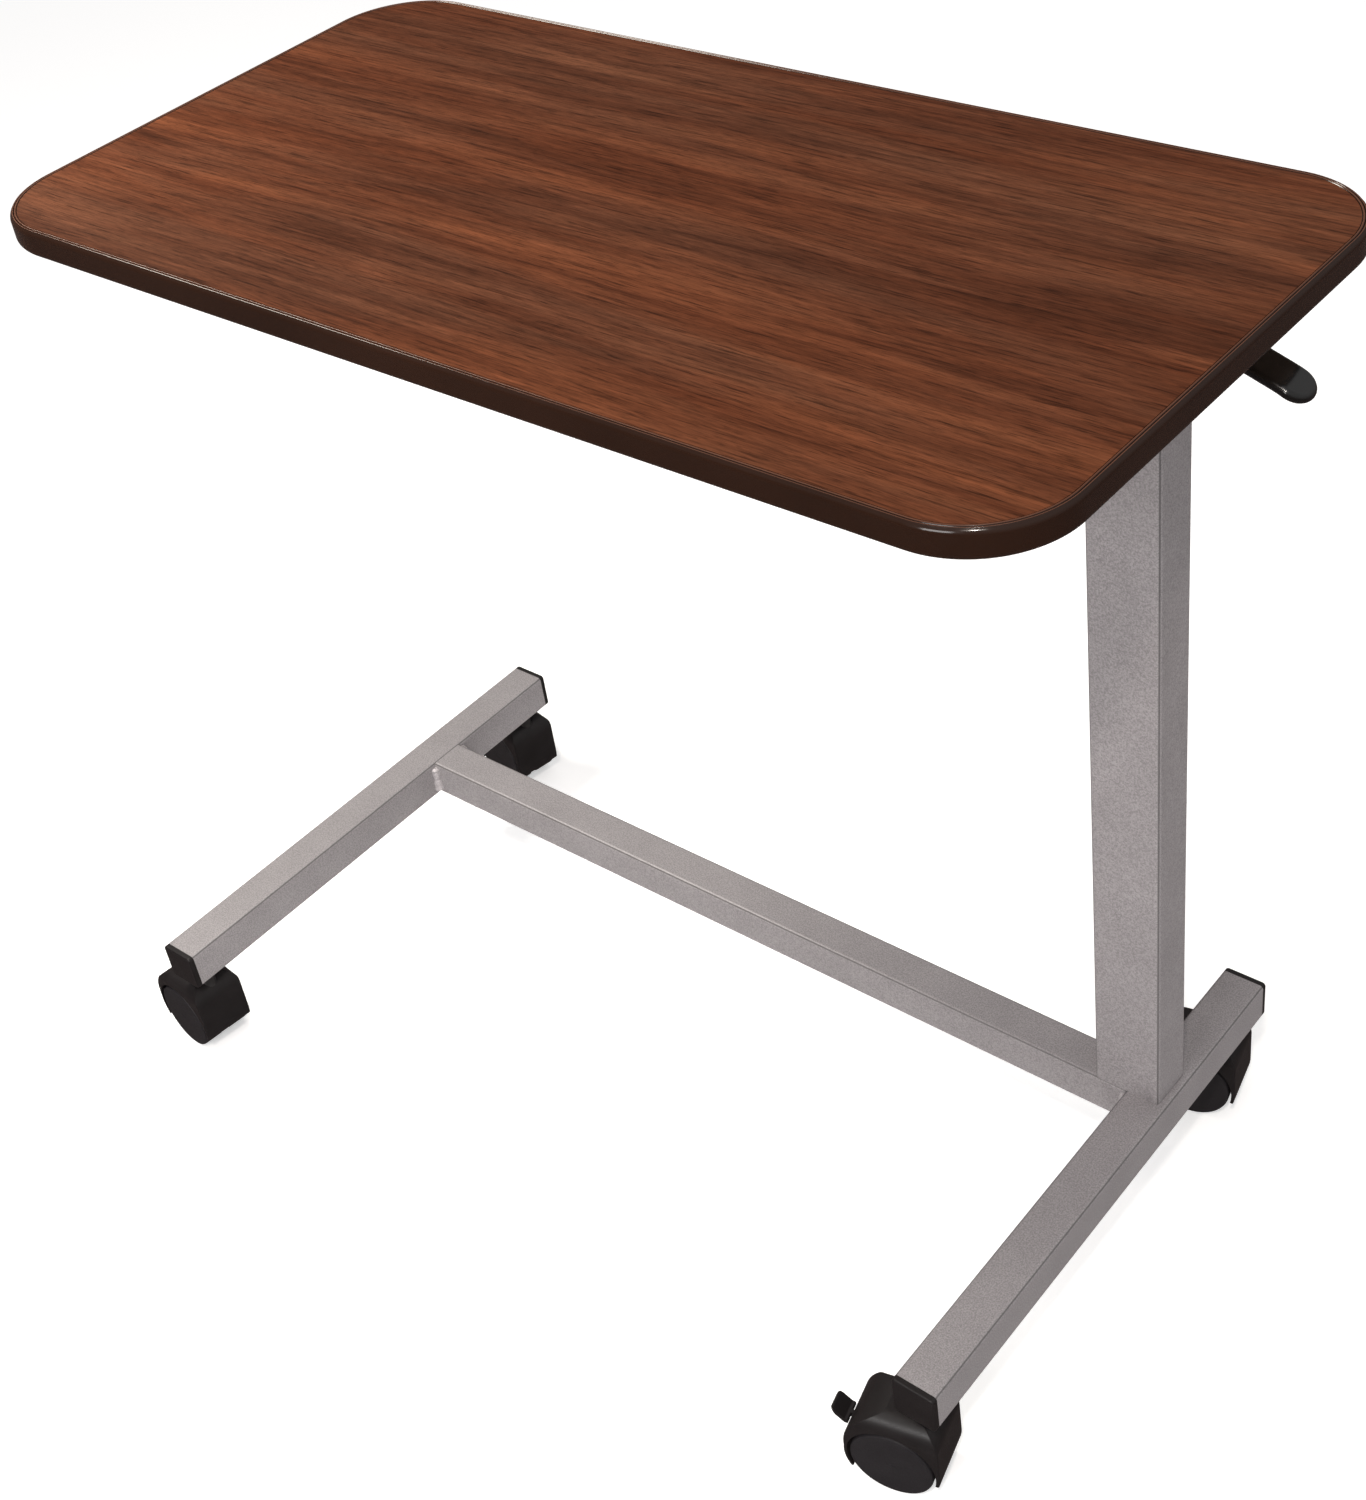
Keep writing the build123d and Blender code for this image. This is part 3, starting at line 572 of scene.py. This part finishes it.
def bead(origin, along, out_a, out_b, length, seed):
    """One bead that fills the corner at origin between directions out_a and out_b."""
    rows = int(length / BEAD_STEP)
    vertices = []
    for i in range(rows + 1):
        s = length * i / rows
        end = min(1.0, BEAD_END + min(s, length - s) / BEAD_TAPER)
        wander = 1.0 + 0.10 * math.sin(s * 310.0 + seed) + 0.06 * math.sin(s * 790.0 + 2.3 * seed)
        vertices.append(origin + along * s)
        for k in range(BEAD_ARC):
            t = k / (BEAD_ARC - 1)
            phase = (s - BEAD_SAG * math.sin(math.pi * t)) / BEAD_PITCH + 0.2 * math.sin(s * 500.0 + seed)
            ripple = BEAD_RIPPLE * abs(math.sin(math.pi * phase)) ** 0.6 * math.sin(math.pi * t)
            r = (BEAD_LEG * (1.0 - BEAD_HOLLOW * math.sin(math.pi * t)) * wander + ripple) * end
            a = math.pi / 2 * t
            vertices.append(origin + along * s + out_a * (r * math.cos(a)) + out_b * (r * math.sin(a)))
    ring = BEAD_ARC + 1
    faces = rings_to_faces(rows + 1, ring, False)
    faces.append(tuple(range(ring)))
    faces.append(tuple(rows * ring + k for k in reversed(range(ring))))
    return vertices, faces


def weld_beads():
    """Four upright beads at the cross tube's ends and one along the foot of the mast."""
    cross_lo, cross_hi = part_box("cross_tube")
    mast_lo, mast_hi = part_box("mast_outer")
    node_lo, node_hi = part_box("weld_beads")
    up = Vector((0, 0, 1))
    runs = []
    tall = cross_hi.z - cross_lo.z
    for x, dx in ((cross_lo.x, 1), (cross_hi.x, -1)):
        for y, dy in ((cross_lo.y, -1), (cross_hi.y, 1)):
            start = Vector((x, y, node_lo.z))
            length = tall - 2 * (node_lo.z - cross_lo.z)
            runs.append((start, up, Vector((dx, 0, 0)), Vector((0, dy, 0)), length))
    start_x = cross_hi.x + FOOT_CORNER
    runs.append(
        (
            Vector((start_x, mast_hi.y, mast_lo.z)),
            Vector((1, 0, 0)),
            Vector((0, 1, 0)),
            up,
            node_hi.x - start_x,
        )
    )
    vertices = []
    faces = []
    for seed, run in enumerate(runs):
        more, quads = bead(*run, seed * SEED_STEP)
        base = len(vertices)
        vertices += more
        faces += [tuple(base + k for k in quad) for quad in quads]
    return piece(
        "rippled_beads", vertices, faces, "weld_beads", "base", "powder_coat", looks=("bead_coat_painted_light",)
    )


weld_beads()

# ---------------------------------------------------------------- floor and light
FLOOR_REACH = 6.0
FLOOR_TONE = (0.90, 0.90, 0.90, 1.0)
FLOOR_GLOW = 0.46
SKY_LEAN = (0.35, 0.0, 1.0)
SKY_STOPS = ((0.0, (0.115, 0.090, 0.085, 1.0)), (0.8, (0.56, 0.56, 0.56, 1.0)))


def studio_floor():
    """Pale matt floor that gives a little light back and stays out of reflections."""
    r = FLOOR_REACH
    mesh = bpy.data.meshes.new("floor")
    mesh.from_pydata([(-r, -r, 0), (r, -r, 0), (r, r, 0), (-r, r, 0)], [], [(0, 1, 2, 3)])
    obj = bpy.data.objects.new("floor", mesh)
    scene.collection.objects.link(obj)
    g = Graph("floor")
    g.fixed(colour=FLOOR_TONE, roughness=0.9, specular=0.1)
    g.shader.inputs["Emission Color"].default_value = (1.0, 1.0, 1.0, 1.0)
    g.shader.inputs["Emission Strength"].default_value = FLOOR_GLOW
    mesh.materials.append(g.material)
    obj.visible_glossy = False


def studio_world():
    """Soft surround, dark at the horizon and pale overhead and to the right."""
    world = bpy.data.worlds.new("studio")
    scene.world = world
    world.use_nodes = True
    tree = world.node_tree
    coords = tree.nodes.new("ShaderNodeTexCoord")
    lean = tree.nodes.new("ShaderNodeVectorMath")
    lean.operation = "DOT_PRODUCT"
    lean.inputs[1].default_value = SKY_LEAN
    ramp = tree.nodes.new("ShaderNodeValToRGB")
    for element, (place, colour) in zip(ramp.color_ramp.elements, SKY_STOPS):
        element.position = place
        element.color = colour
    background = tree.nodes["Background"]
    background.inputs["Strength"].default_value = 1.0
    tree.links.new(coords.outputs["Generated"], lean.inputs[0])
    tree.links.new(lean.outputs["Value"], ramp.inputs["Fac"])
    tree.links.new(ramp.outputs["Color"], background.inputs["Color"])


def area(name, place, aim, size, power, colour=(1.0, 1.0, 1.0)):
    """Rectangular lamp at a place, turned to an aim point."""
    lamp = bpy.data.lights.new(name, "AREA")
    lamp.shape = "RECTANGLE"
    lamp.size, lamp.size_y = size
    lamp.energy = power
    lamp.color = colour
    obj = bpy.data.objects.new(name, lamp)
    scene.collection.objects.link(obj)
    obj.location = place
    obj.rotation_euler = (Vector(aim) - Vector(place)).to_track_quat("-Z", "Y").to_euler()


studio_floor()
studio_world()
area("key", (0.35, -2.5, 1.8), (0.0, 0.0, 0.4), (1.1, 0.9), 36.0, (1.0, 0.985, 0.975))
area("left", (-0.82, -0.20, 1.45), (-0.38, -0.1, 0.75), (0.35, 0.35), 14.5, (1.0, 0.96, 0.86))
area("glint", (1.05, -1.25, 2.4), (0.3, 0.0, 0.6), (0.15, 0.15), 22.0, (1.0, 0.92, 0.85))
area("top", (0.5, -0.6, 2.8), (0.0, 0.0, 0.3), (1.8, 1.2), 6.0)

# ---------------------------------------------------------------- camera
CAMERA_PLACE = (0.8807, -0.8468, 1.3262)
CAMERA_TURN = (52.12, 7.27, 39.47)
CAMERA_LENS = 53.7768
CAMERA_SHIFT = -0.042

cam_data = bpy.data.cameras.new("camera")
cam = bpy.data.objects.new("camera", cam_data)
scene.collection.objects.link(cam)
cam_data.sensor_fit = "AUTO"
cam_data.sensor_width = 36.0
cam_data.lens = CAMERA_LENS
cam_data.shift_y = CAMERA_SHIFT
cam_data.clip_start = 0.01
cam.location = CAMERA_PLACE
cam.rotation_euler = Euler([math.radians(a) for a in CAMERA_TURN], "XYZ")
scene.camera = cam

scene.view_settings.view_transform = "Standard"
